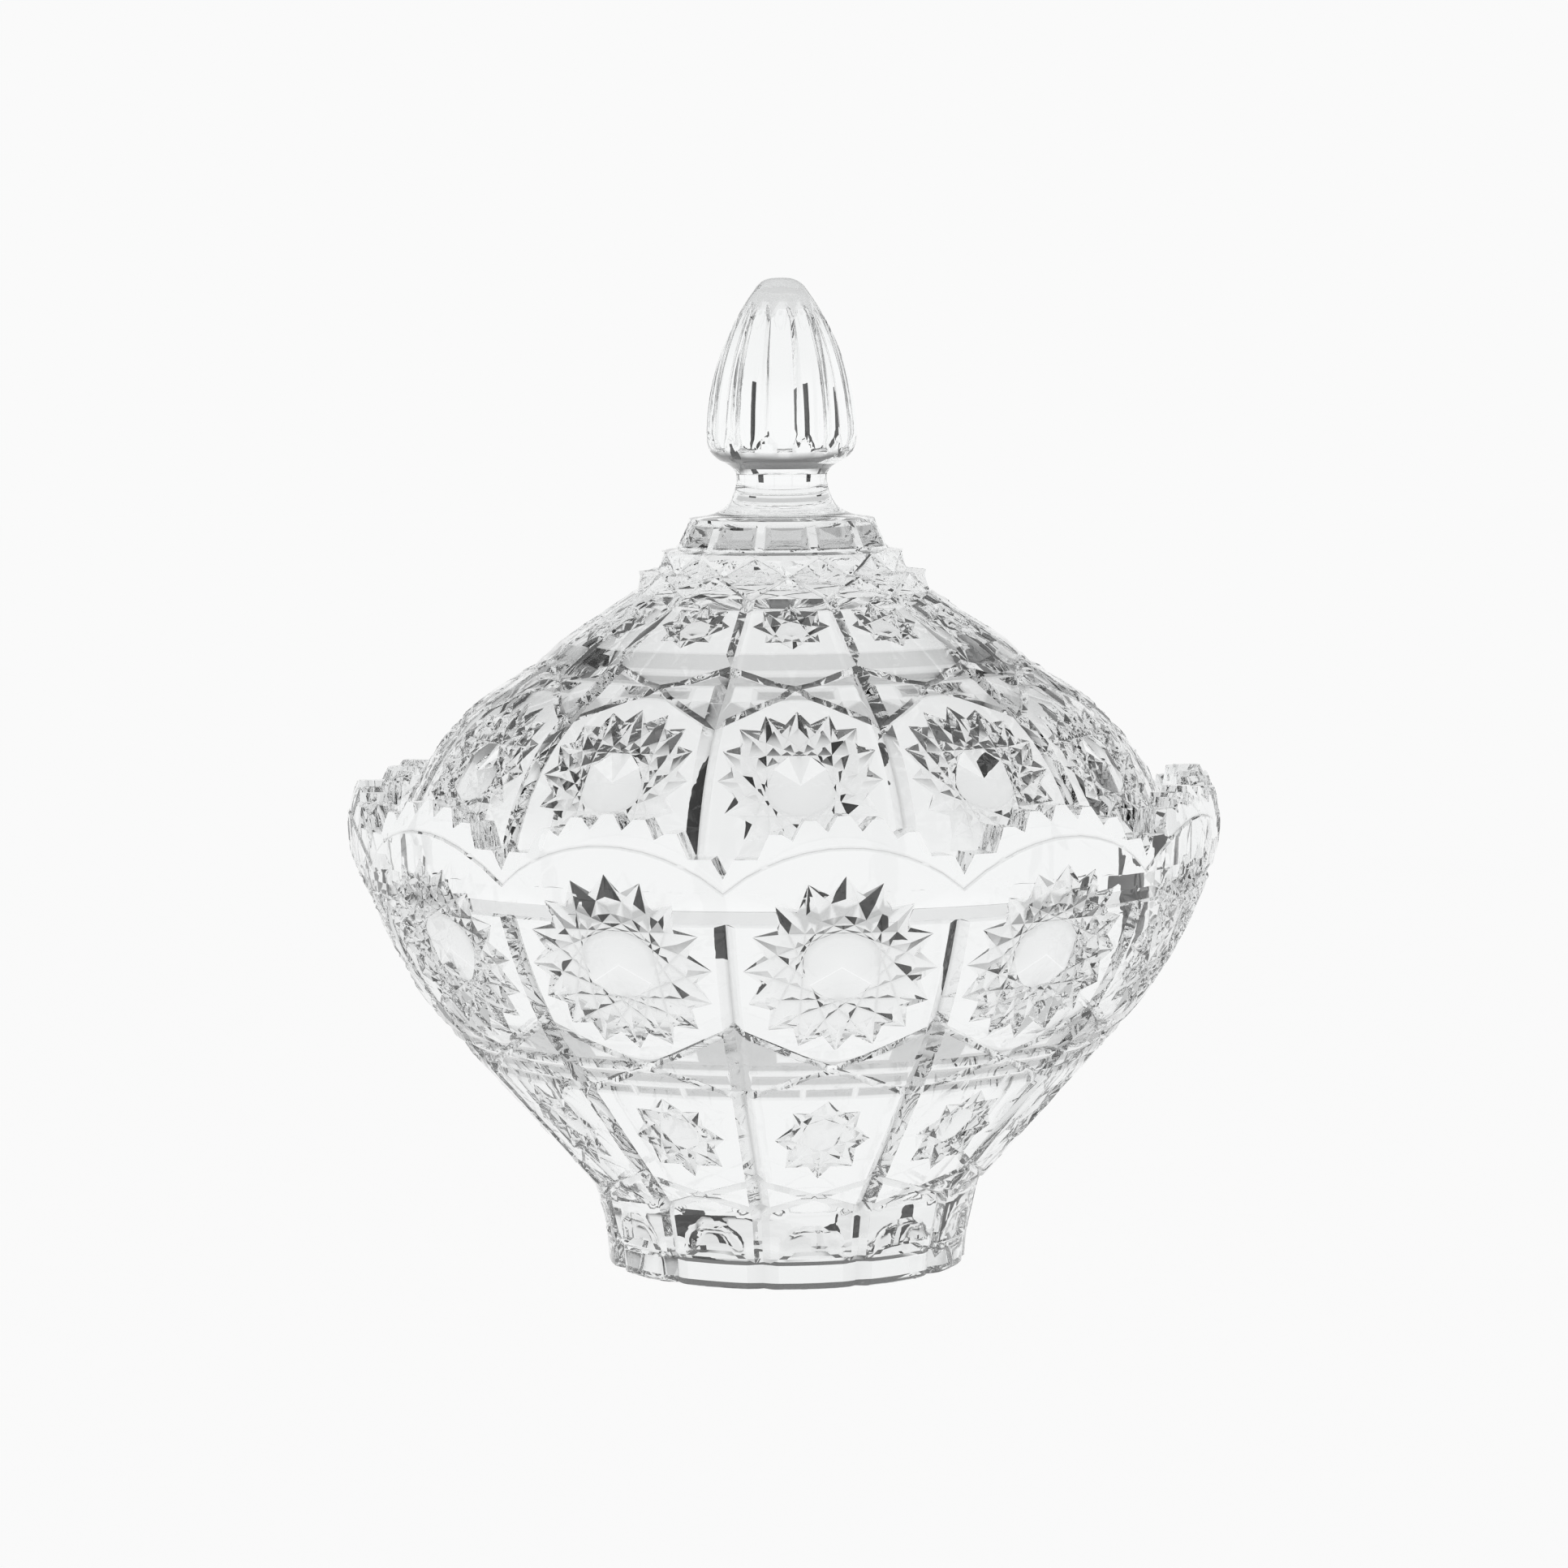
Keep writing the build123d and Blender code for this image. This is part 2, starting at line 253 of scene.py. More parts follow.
def scoreStar(star, zone):
    # chords first, then the outline between each pair of tips
    chordZone = centreTest(zone)
    for a, b in star["chords"]:
        score(toSheet(star, a), toSheet(star, b), chordZone)
    tips = [toSheet(star, tip) for tip in star["tips"]]
    count = len(tips)
    for k in range(count):
        left, right = tips[k], tips[(k + 1) % count]
        notch = toSheet(star, star["notches"][k])

        def holdsNotch(face):
            corners = [v.co.xy for v in face.verts]
            return (any((c - left).length < hair for c in corners)
                    and any((c - right).length < hair for c in corners))

        score(left, notch, holdsNotch)

        def holdsRight(face):
            corners = [v.co.xy for v in face.verts]
            middle = face.calc_center_median().xy
            return (any((c - right).length < hair for c in corners)
                    and nearWedge(middle, left, right, star))

        score(right, notch, holdsRight)


def nearWedge(middle, left, right, star):
    # the face lies between two neighbouring tips as seen from the star's centre
    hub = Vector((0, star["middle"]))
    spoke = (left + right) / 2 - hub
    return (middle - hub).normalized().dot(spoke.normalized()) > math.cos(math.pi / len(star["tips"]))


def isCore(star, face):
    return (face.calc_center_median().xy - Vector((0, star["middle"]))).length < 0.3


def pointCells(stars):
    # every cell comes to a point, and the middle face is ringed so that it can be dished
    pickFaces(lambda face: not any(isCore(star, face) for star in stars)
              and not offStars(stars)(*face.calc_center_median().xy))
    bpy.ops.mesh.poke()
    for star in stars:
        pickFaces(lambda face: isCore(star, face))
        last = 1.0
        for ring in star["look"]["rings"]:
            bpy.ops.mesh.inset(thickness=(last - ring) * star["core"], depth=0)
            last = ring
        bpy.ops.mesh.poke()
    pickFaces(centreTest(offStars(stars)))
    bpy.ops.mesh.quads_convert_to_tris(quad_method="BEAUTY", ngon_method="BEAUTY")


def offStars(stars):
    return lambda x, y: not any(insideStar(star, x, y) for star in stars)


def depthInStars(stars, x, y):
    # None where no star is
    for star in stars:
        if insideStar(star, x, y, 0.995):
            return starDepth(star, x, y)
    return None


# straight cuts
def layCut(form, p, q, look, over=False):
    # a V cut from p to q on the sheet, its width true where the form is at the height "trueAt"
    # one that goes over the others deepens what it crosses
    half = look["half"]
    reach = {"low": min(p.y, q.y) - half, "high": max(p.y, q.y) + half,
             "left": min(p.x, q.x) - hair, "right": max(p.x, q.x) + hair}
    if reach["right"] < 2 * hair:   # one that runs up the middle of the panel
        reach["right"] = 2.0
    squeeze = radiusAt(form, look["trueAt"]) / sheetRadius
    return {"p": p, "q": q, "half": half, "depth": look["depth"], "squeeze": squeeze, "over": over,
            "reach": reach}


def ridgeCuts(form, ridges, look):
    # V cuts round the piece, side by side, with a ridge between each two
    cuts = []
    for low, high in zip(ridges, ridges[1:]):
        row = (low + high) / 2
        cuts.append(layCut(form, Vector((-halfSheet, row)), Vector((halfSheet, row)),
                           {**look, "half": (high - low) / 2}))
    return cuts


def cutLines(cut):
    stretch = cut["squeeze"]
    p = Vector((cut["p"].x * stretch, cut["p"].y))
    q = Vector((cut["q"].x * stretch, cut["q"].y))
    side = Vector((p.y - q.y, q.x - p.x)).normalized() * cut["half"]
    for shift in (0, 1, -1):
        a, b = p + side * shift, q + side * shift
        yield Vector((a.x / stretch, a.y)), Vector((b.x / stretch, b.y))


def cutDepth(cut, across, along):
    stretch = cut["squeeze"]
    p = Vector((cut["p"].x * stretch, cut["p"].y))
    q = Vector((cut["q"].x * stretch, cut["q"].y))
    run = (q - p).normalized()
    here = Vector((across * stretch, along)) - p
    return cut["depth"] * (1 - abs(here.x * run.y - here.y * run.x) / cut["half"])


def scoreCuts(cuts, margin, plain):
    for cut in cuts:
        reach = cut["reach"]
        zone = lambda x, y: (reach["low"] - margin < y < reach["high"] + margin
                             and reach["left"] < x < reach["right"] and plain(x, y))
        for p, q in cutLines(cut):
            score(p, q, centreTest(zone))


def deepestCut(cuts, over, x, y):
    # depth of the deepest cut here, among those that go over the others or among the rest
    deepest = 0.0
    for cut in cuts:
        reach = cut["reach"]
        if (cut["over"] == over and reach["low"] <= y <= reach["high"]
                and reach["left"] - 0.5 < x < reach["right"] + 0.5):
            deepest = max(deepest, cutDepth(cut, x, y))
    return deepest


def scoreRibEdge(form, low, high, half, plain):
    ends = [Vector((halfSheet - half * sheetRadius / onForm(form, row)[0].x, row)) for row in (low, high)]
    score(ends[0], ends[1], centreTest(lambda x, y: low < y < high and plain(x, y)))


def inCorner(hub, end, ridge, x, y):
    # between the band's outer ridge and the crossing line that runs from the hub to the rib
    line = hub.y + (end.y - hub.y) * x / end.x
    low, high = (ridge, line) if end.y > hub.y else (line, ridge)
    return low + 0.05 < y < high - 0.05


# from the sheet to a closed piece
def wrapSheet(sheet, form, depthAt, paintedShadeAt):
    bpy.ops.object.mode_set(mode="OBJECT")
    paintedShade = sheet.data.attributes.new("paintedShade", "FLOAT", "POINT")   # painted shade: how grey the glass colour is painted here, standing in for the darker light seen through the cut
    for vert in sheet.data.vertices:
        across, along = vert.co.x, vert.co.y
        point, normal = onForm(form, along)
        depth = max(0.0, depthAt(across, along))
        paintedShade.data[vert.index].value = paintedShadeAt(across, along, depth)
        sunk = point - normal * depth
        turn = across / sheetRadius
        vert.co = Vector((sunk.x * math.sin(turn), -sunk.x * math.cos(turn), sunk.y)) * mm
    return sheet


def ringOfPanels(sheet):
    panels = [sheet]
    for k in range(1, panelCount):
        panel = sheet.copy()
        panel.data = sheet.data.copy()
        panel.data.transform(Matrix.Rotation(k * panelTurn, 4, "Z"))
        bpy.context.collection.objects.link(panel)
        panels.append(panel)
    bpy.ops.object.select_all(action="DESELECT")
    for panel in panels:
        panel.select_set(True)
    bpy.context.view_layer.objects.active = sheet
    bpy.ops.object.join()
    bpy.ops.object.mode_set(mode="EDIT")
    bpy.ops.mesh.select_all(action="SELECT")
    bpy.ops.mesh.remove_doubles(threshold=0.02 * mm)
    return sheet


def pickRim(top):
    # the open edge at the top or at the bottom
    bpy.ops.mesh.select_mode(type="EDGE")
    bpy.ops.mesh.select_all(action="DESELECT")
    mesh = bmesh.from_edit_mesh(bpy.context.edit_object.data)
    middle = sum(v.co.z for v in mesh.verts) / len(mesh.verts)
    for edge in mesh.edges:
        if edge.is_boundary and (edge.verts[0].co.z > middle) == top:
            edge.select_set(True)
    bmesh.update_edit_mesh(bpy.context.edit_object.data)


def pullRim(radius=None, height=None, shade=0.0):
    # the chosen edge is extruded, and the new one is taken to a radius and a height in millimetres; shade is
    # the painted shade given to the new ring
    bpy.ops.mesh.extrude_region()
    mesh = bmesh.from_edit_mesh(bpy.context.edit_object.data)
    paintedShade = mesh.verts.layers.float["paintedShade"]
    for vert in mesh.verts:
        if vert.select:
            turn = math.atan2(vert.co.y, vert.co.x)
            vert[paintedShade] = shade(turn) if callable(shade) else shade
            if radius is not None:
                reach = radius(turn) if callable(radius) else radius
                vert.co.x, vert.co.y = reach * mm * math.cos(turn), reach * mm * math.sin(turn)
            if height is not None:
                vert.co.z = height * mm
    bmesh.update_edit_mesh(bpy.context.edit_object.data)


def pullTo(rings):
    for radius, height in rings:
        pullRim(radius=radius, height=height)


def pullAlong(form, steps, order):
    # rings along an outline that is divided into steps
    for step in order:
        point = onForm(form, form["lengths"][-1] * step / steps)[0]
        pullRim(radius=point.x, height=point.y)


def closeRim():
    bpy.ops.mesh.merge(type="CENTER")


def finishGlass(piece):
    bpy.ops.mesh.select_all(action="SELECT")
    bpy.ops.mesh.normals_make_consistent(inside=False)
    bpy.ops.object.mode_set(mode="OBJECT")
    bpy.ops.object.select_all(action="DESELECT")
    piece.select_set(True)
    bpy.context.view_layer.objects.active = piece
    bpy.ops.object.shade_smooth_by_angle(angle=math.radians(creaseAngle))
    mesh = piece.data
    mesh.calc_loop_triangles()
    print(piece.name, "vertices", len(mesh.vertices), "triangles", len(mesh.loop_triangles))


# bowl
# painted shade: how strongly each kind of place greys the glass colour, standing in for the darker light
# seen through cut glass
paintedShades = {
    "plain": 0.02,      # faint painted shade on the pressed face, next to the clear lenses
    "lensShare": 0.97,  # the clear part of the middle of a big star, where no shade is painted
    "band": 6.0,        # painted shade in the shallow cuts of the bands is as dark as in deeper ones
    "overLine": 0.2,    # from this depth on, a crossing line gets no painted shade and stays light
    "strip": 2.0,
    "step": 1.1,        # painted shade makes the steps grey between light cuts
    "stepCut": 4.0,
    "corner": 1.3,      # painted shade darkens the small corners between a crossing line and the band
}
bowlLook = {
    "foot": (30.8, 0.0), "baseTop": (31.2, 4.5), "footTop": (33.2, 13.4), "flareTop": (57.6, 40.8),
    "belt": (73.6, 68.6), "widest": (75.0, 77.0), "rimTop": (73.2, 84.4),
    "beltBow": 1.66, "widestBow": 0.32, "rimBow": 0.49,
    "lines": {"foot": 13.5, "rowLow": 19.7, "bandLow": 35.8, "bandHigh": 43.4, "starHigh": 66.6,
              "beltHigh": 69.3},
    "rows": (16.5, 19.7, 24, 28, 32, 35.8, 40.8, 45, 49, 53, 57, 61, 65, 66.6, 66.9, 69.0, 69.3),
    "columns": (0.3, 0.6),
    "ribHalf": 1.75, "ribDepth": 1.3,
    "ridges": (35.8, 38.1, 40.8, 43.4), "ridge": {"depth": 0.45, "trueAt": 39.5},
    "hub": 41.3, "crossTop": 48.9, "crossFoot": 36.0, "crossUp": {"half": 0.75, "depth": 0.55, "trueAt": 45},
    "crossDown": {"half": 0.75, "depth": 0.55, "trueAt": 39},
    "footCross": {"half": 0.8, "depth": 0.7, "trueAt": 16.5}, "cutMargin": 1.5,
    "stripDepth": 0.5, "stripEdge": 0.3,
    "teeth": 7, "toothFlat": 0.36, "toothNotch": 2.3, "valley": 74.4, "rimPaintedShade": 0.9,
    "arcTop": 79.0, "arcFoot": 71.7, "arcEdge": 0.4, "arcStep": 0.35, "arcPaintedShade": 1.3,
    "rimEdge": 72.7, "rimInside": 68.6, "rimBevel": 0.4, "ledge": 72.0, "throat": 64.2,
    "inside": ((26.6, 14.9), [(53.1, 44.8, 0), (64.2, 64.0, 1.7), (64.2, 71.2, 0)]), "insideSteps": 24,
    "floor": ((25.8, 14.4), (24, 14.2), (18, 14.15), (10, 14.1), (3, 14.1)),
    "under": ((25.6, 0.0), (25.0, 0.5), (24.4, 3.6), (23.4, 4.3), (18, 4.4), (10, 4.4), (3, 4.4)),
}
footLook = {
    "columns": 6, "rows": (1.0, 2.2, 3.4, 4.5, 5.3, 6.2, 7.2, 8.2, 9.2, 10.2, 11.2, 12.3),
    "baseTop": 4.6, "notchHalf": 2.2, "notchDepth": 0.9, "grooveHalf": 1.0, "grooveDepth": 0.6,
    "scoopHalf": 4.6, "scoopFoot": 6.2, "scoopRise": 5.2, "scoopDepth": 0.9,
}
bowlForm = makeForm(bowlLook["foot"], [
    (*bowlLook["baseTop"], 0), (*bowlLook["footTop"], 0), (*bowlLook["flareTop"], 0),
    (*bowlLook["belt"], bowlLook["beltBow"]), (*bowlLook["widest"], bowlLook["widestBow"]),
    (*bowlLook["rimTop"], bowlLook["rimBow"])])


def ramp(ratio, low, high, atLow, atHigh):
    return atLow + (ratio - low) / (high - low) * (atHigh - atLow)


def lensCore(ratio):
    # slope up from the cuts, flat ring, step down to the eye
    if ratio > 0.94:
        return ramp(min(ratio, 1.0), 0.94, 1.0, 0.25, 1.1)
    if ratio > 0.60:
        return ramp(ratio, 0.60, 0.94, 0.10, 0.25)
    if ratio > 0.54:
        return ramp(ratio, 0.54, 0.60, 0.50, 0.10)
    return ramp(ratio, 0.0, 0.54, 0.62, 0.50)


def rosetteCore(ratio):
    # eight facets rise to a point in a shallow ring
    if ratio > 0.6:
        return ramp(min(ratio, 1.0), 0.6, 1.0, 0.9, 0.6)
    return ramp(ratio, 0.0, 0.6, 0.15, 0.9)


bigBowlStar = {"height": 59.2, "radius": 15.8, "stretch": 1.05, "points": 16, "skip": 6, "half": 1.5,
               "runOut": 5.0, "depth": 1.1, "core": lensCore, "rings": (0.92, 0.60, 0.54, 0.27)}
smallBowlStar = {"height": 28.0, "radius": 7.9, "stretch": 1.28, "points": 8, "skip": 3, "half": 1.3,
                 "runOut": 3.6, "depth": 0.9, "core": rosetteCore, "rings": (0.6,)}


def archHeight(turn, top, foot):
    # height of a round arch as wide as a panel, at an angle from its middle
    half = bowlLook["widest"][0] * math.sin(panelTurn / 2)
    radius = (half ** 2 + (top - foot) ** 2) / (2 * (top - foot))
    across = bowlLook["widest"][0] * math.sin(turn)
    return top - radius + math.sqrt(radius ** 2 - across ** 2)


def scallopHeight(turn):
    return archHeight(turn, bowlLook["rimTop"][1], bowlLook["valley"])


def arcHeight(turn):
    return archHeight(turn, bowlLook["arcTop"], bowlLook["arcFoot"])


def toothLine():
    # corners of the teeth on the sheet, from valley to valley
    pitch = panelTurn / bowlLook["teeth"]
    corners = [(-panelTurn / 2, bowlLook["valley"])]
    for tooth in range(bowlLook["teeth"]):
        middle = (tooth - (bowlLook["teeth"] - 1) / 2) * pitch
        if tooth:
            notch = middle - pitch / 2
            corners.append((notch, scallopHeight(notch) - bowlLook["toothNotch"]))
        for side in (-1, 1):
            corners.append((middle + side * pitch * bowlLook["toothFlat"] / 2, scallopHeight(middle)))
    corners.append((panelTurn / 2, bowlLook["valley"]))
    return [Vector((turn * sheetRadius, lengthAt(bowlForm, height))) for turn, height in corners]


def lineAt(corners, x):
    # height on the sheet of a line through corners, None beyond its ends
    for p, q in zip(corners, corners[1:]):
        if p.x <= x <= q.x:
            return p.y + (q.y - p.y) * (x - p.x) / (q.x - p.x)
    return None


def buildBowl():
    form = bowlForm
    at = {name: lengthAt(form, height) for name, height in bowlLook["lines"].items()}
    big, small = layStar(form, bigBowlStar), layStar(form, smallBowlStar)
    plain = offStars((big, small))
    sheet = blankSheet("bowlGlass", form)
    for name in ("foot", "rowLow", "bandLow"):
        scoreRow(at[name], everywhere)
    scoreStar(big, lambda x, y: y > at["bandLow"] + 4)
    scoreStar(small, lambda x, y: at["rowLow"] < y < at["bandLow"])

    # bands of ridges with lines crossing them
    ridges = [lengthAt(form, height) for height in bowlLook["ridges"]]
    bandHub = Vector((0, lengthAt(form, bowlLook["hub"])))
    bandEnd = Vector((halfSheet, lengthAt(form, bowlLook["crossTop"])))
    bandFoot = Vector((halfSheet, lengthAt(form, bowlLook["crossFoot"])))
    footHub = Vector((0, (at["rowLow"] + at["foot"]) / 2))
    cuts = ridgeCuts(form, ridges, bowlLook["ridge"])
    cuts.append(layCut(form, bandHub, bandEnd, bowlLook["crossUp"], over=True))
    cuts.append(layCut(form, bandHub, bandFoot, bowlLook["crossDown"], over=True))
    for row in (at["rowLow"], at["foot"]):
        cuts.append(layCut(form, footHub, Vector((halfSheet, row)), bowlLook["footCross"], over=True))
    scoreCuts(cuts, bowlLook["cutMargin"], plain)

    # rows that carry the curve, and rib edges between them
    rows = [at["foot"]] + [lengthAt(form, height) for height in bowlLook["rows"]]
    for row in rows:
        scoreRow(row, plain)
    for low, high in zip(rows, rows[1:]):
        if high < at["starHigh"] + hair:
            scoreRibEdge(form, low, high, bowlLook["ribHalf"], plain)
    for share in bowlLook["columns"]:
        scoreColumn(share * halfSheet, lambda x, y: y > at["bandLow"] and plain(x, y))

    # teeth of the rim, in the right half of the panel
    rimZone = lambda x, y: y > at["beltHigh"] and plain(x, y)
    pitch = sheetRadius * panelTurn / bowlLook["teeth"]
    teeth = [corner for corner in toothLine() if corner.x > -0.6 * pitch]
    for corner in teeth[1:-1]:
        scoreColumn(corner.x, rimZone)
    for p, q in zip(teeth, teeth[1:]):
        score(p, q, centreTest(lambda x, y: p.x < x < q.x and rimZone(x, y)))

    # arched step below the teeth
    arcs = [Vector((x, lengthAt(form, arcHeight(x / sheetRadius)))) for x in
            [halfSheet * k / 6 for k in range(7)]]
    for p, q in zip(arcs, arcs[1:]):
        for lift in (0, bowlLook["arcEdge"], 2 * bowlLook["arcEdge"]):
            rise = Vector((0, lift))
            score(p + rise, q + rise,
                  centreTest(lambda x, y: p.x - hair < x < q.x + hair and rimZone(x, y)))
    pickFaces(centreTest(lambda x, y: (lineAt(teeth, x) or y) < y))
    bpy.ops.mesh.delete(type="FACE")

    # foot: small squares for its scoops
    for k in range(1, footLook["columns"]):
        scoreColumn(k * halfSheet / footLook["columns"], lambda x, y: y < at["foot"])
    for height in footLook["rows"]:
        scoreRow(lengthAt(form, height), lambda x, y: y < at["foot"])
    mirrorSheet(sheet)
    pointCells((big, small))

    def aboveArc(x, y):
        return y - lineAt(arcs, min(abs(x), arcs[-1].x))

    def footDepth(x, height, radius, fromRib):
        if height < footLook["baseTop"]:
            return footLook["notchDepth"] * max(0.0, 1 - fromRib / footLook["notchHalf"])
        groove = footLook["grooveDepth"] * max(0.0, 1 - fromRib / footLook["grooveHalf"])
        across = x * radius / sheetRadius / footLook["scoopHalf"]
        scoop = 1 - across ** 2 - ((height - footLook["scoopFoot"]) / footLook["scoopRise"]) ** 2
        if height > footLook["scoopFoot"] - 0.1 and scoop > 0:
            return max(groove, footLook["scoopDepth"] * math.sqrt(scoop))
        return groove

    def depthAt(x, y):
        x = abs(x)
        inStar = depthInStars((big, small), x, y)
        if inStar is not None:
            return inStar
        radius, height = onForm(form, y)[0]
        fromRib = (halfSheet - x) * radius / sheetRadius
        depths = [0.0, deepestCut(cuts, False, x, y)]
        if at["foot"] - hair < y < at["starHigh"] + hair:
            depths.append(bowlLook["ribDepth"] * (1 - fromRib / bowlLook["ribHalf"]))
        if y > at["beltHigh"]:
            depths.append(bowlLook["arcStep"] * min(1.0, max(0.0, aboveArc(x, y) / bowlLook["arcEdge"])))
        if at["starHigh"] <= y <= at["beltHigh"]:
            inwards = min(y - at["starHigh"], at["beltHigh"] - y) / bowlLook["stripEdge"]
            depths.append(bowlLook["stripDepth"] * min(1.0, inwards))
        if y < at["foot"]:
            depths.append(footDepth(x, height, radius, fromRib))
        return max(depths) + deepestCut(cuts, True, x, y)

    # painted shade of the glass colour at a point of the sheet: none in the lens, a dark line along the
    # arched step, grey band cells, dark corners and a grey strip
    def paintedShadeAt(x, y, depth):
        if toFlat(big, x, y).length < big["core"] * paintedShades["lensShare"]:
            return 0.0
        # painted shade: a dark line along the arched step, the rest of the rim faintly grey
        if y > at["beltHigh"] and plain(x, y):
            fromLine = abs(aboveArc(x, y) - bowlLook["arcEdge"])
            return bowlLook["arcPaintedShade"] if fromLine < bowlLook["arcEdge"] / 2 else paintedShades["plain"]
        if at["bandLow"] < y < at["bandHigh"] and plain(x, y):
            if deepestCut(cuts, True, abs(x), y) > paintedShades["overLine"]:
                return 0.0
            return max(depth * paintedShades["band"], paintedShades["plain"])
        if inCorner(bandHub, bandEnd, ridges[-1], abs(x), y) and plain(x, y):
            return paintedShades["corner"]
        if at["starHigh"] < y < at["beltHigh"]:
            return depth * paintedShades["strip"]
        return max(depth, paintedShades["plain"])

    wrapSheet(sheet, form, depthAt, paintedShadeAt)
    ringOfPanels(sheet)
    # rim, ledge, throat, inside wall and floor
    pickRim(top=True)
    # painted shade greys the flat top of the rim
    pullRim(radius=bowlLook["rimEdge"], shade=bowlLook["rimPaintedShade"])
    pullRim(radius=bowlLook["rimInside"] + bowlLook["rimBevel"], shade=bowlLook["rimPaintedShade"])
    pullRim(radius=bowlLook["rimInside"])
    pullRim(height=bowlLook["ledge"])
    pullRim(radius=bowlLook["throat"])
    steps = bowlLook["insideSteps"]
    pullAlong(makeForm(*bowlLook["inside"]), steps, range(steps, -1, -1))
    pullTo(bowlLook["floor"])
    closeRim()
    # resting ring and hollow under the foot
    pickRim(top=False)
    pullTo(bowlLook["under"])
    closeRim()
    finishGlass(sheet)
    return sheet


# lid
lidLook = {
    "edge": (66.3, 72.06), "edgeTop": (66.3, 76.4), "domeTop": (47.4, 100.2), "bandTop": (40.6, 104.9),
    "shoulder": (38.2, 107.2), "coneTop": (25.6, 115.6), "lowerStep": (24.6, 119.0), "tread": (21.3, 119.3),
    "upperStep": (20.7, 122.5), "collar": (18.3, 122.9), "collarTop": (15.9, 128.0),
    "domeBow": 3.05, "turn": -4.9,
    "domeRows": (79.5, 82.5, 85.5, 88.5, 91.5, 94.3, 97, 99), "coneRows": (107.5, 110, 113),
    "columns": (0.3, 0.6),
    "ribHalf": 1.75, "ribDepth": 1.3, "smallRibHalf": 1.1, "smallRibDepth": 0.8,
    "ridges": (100.3, 102.2, 104.4), "ridge": {"depth": 0.45, "trueAt": 102.3},
    "hub": 102.2, "crossFoot": 96.4, "crossDown": {"half": 0.75, "depth": 0.55, "trueAt": 99},
    "crossUp": {"half": 0.75, "depth": 0.55, "trueAt": 103.5},
    "fan": {"half": 0.45, "depth": 0.4, "trueAt": 118},
    "fanMiddle": {"half": 0.45, "depth": 0.4, "trueAt": 120},
    "cutMargin": 1.0,
    "lip": ((63.4, 72.06), (63.4, 67.9), (62.9, 67.4), (59.9, 67.4), (59.4, 67.9)),
    "ceiling": ((59.4, 67.9), [(59.4, 72.0, 0), (44.4, 95.7, 3.2), (22.6, 111.1, 0)]), "ceilingSteps": 20,
    "crown": ((19, 112.2), (14, 113.2), (8, 113.85), (3, 114.05)),
}
# shade is the painted shade that darkens the collar blocks
blockLook = {"low": 123.3, "high": 127.5, "slope": 0.45, "radius": 17, "width": 0.86, "columns": 5,
             "edgeDepth": 0.5, "dish": 0.7, "shade": 1.3}
knobLook = {
    "neck": ((15.9, 128.0), [(15.0, 128.25, 0), (7.7, 134.9, -2.3), (9.2, 137.2, -0.4)]), "neckSteps": 14,
    "side": ((9.2, 137.2), [(13.1, 143.6, 1.5), (4.7, 166.6, 1.85), (0.6, 168.95, 0.75)]), "steps": 48,
    "widest": 13.1, "fluteTurn": 30, "fluteLow": 139.2, "fluteHigh": 165.0, "fluteArch": 2.4,
    "fluteDepth": 0.35, "fluteFade": 1.0, "capPaintedShade": 1.05,
}
lidCorners = ("edgeTop", "domeTop", "bandTop", "shoulder", "coneTop", "lowerStep", "tread", "upperStep",
              "collar")
lidForm = makeForm(lidLook["edge"], [
    (*lidLook[name], lidLook["domeBow"] if name == "domeTop" else 0)
    for name in (*lidCorners, "collarTop")])
bigLidStar = {"height": 88.6, "radius": 13.4, "stretch": 1.12, "points": 16, "skip": 6, "half": 1.25,
              "runOut": 4.0, "depth": 1.0, "core": lensCore, "rings": (0.92, 0.60, 0.54, 0.27)}
smallLidStar = {"height": 111.4, "radius": 6.4, "stretch": 0.95, "points": 8, "skip": 3, "half": 1.05,
                "runOut": 2.8, "depth": 0.8, "core": rosetteCore, "rings": (0.6,)}


def offRidge(turn):
    # 0 in the middle of a flute of the knob, 1 on a ridge
    half = knobLook["fluteTurn"] / 2
    swing = math.degrees(turn + math.pi / 2) % knobLook["fluteTurn"]
    return min(swing, knobLook["fluteTurn"] - swing) / half


def capShare(turn, height):
    # 0 where a flute is fully cut, 1 on the smooth tip above it
    top = knobLook["fluteHigh"] - knobLook["fluteArch"] * offRidge(turn) ** 2
    return 1 - min(1.0, max(0.0, (top - height) / knobLook["fluteFade"]))


def fluted(radius, height):
    half = knobLook["fluteTurn"] / 2

    def reach(turn):
        off = offRidge(turn)
        bottom = knobLook["fluteLow"] + knobLook["fluteArch"] * off ** 2
        fade = min(1.0, max(0.0, (height - bottom) / knobLook["fluteFade"]), 1 - capShare(turn, height))
        chord = radius * (1 - math.cos(math.radians(half)) / math.cos(math.radians(half * off)))
        dish = knobLook["fluteDepth"] * radius / knobLook["widest"] * (1 - off ** 2)
        return radius - (chord + dish) * fade
    return reach


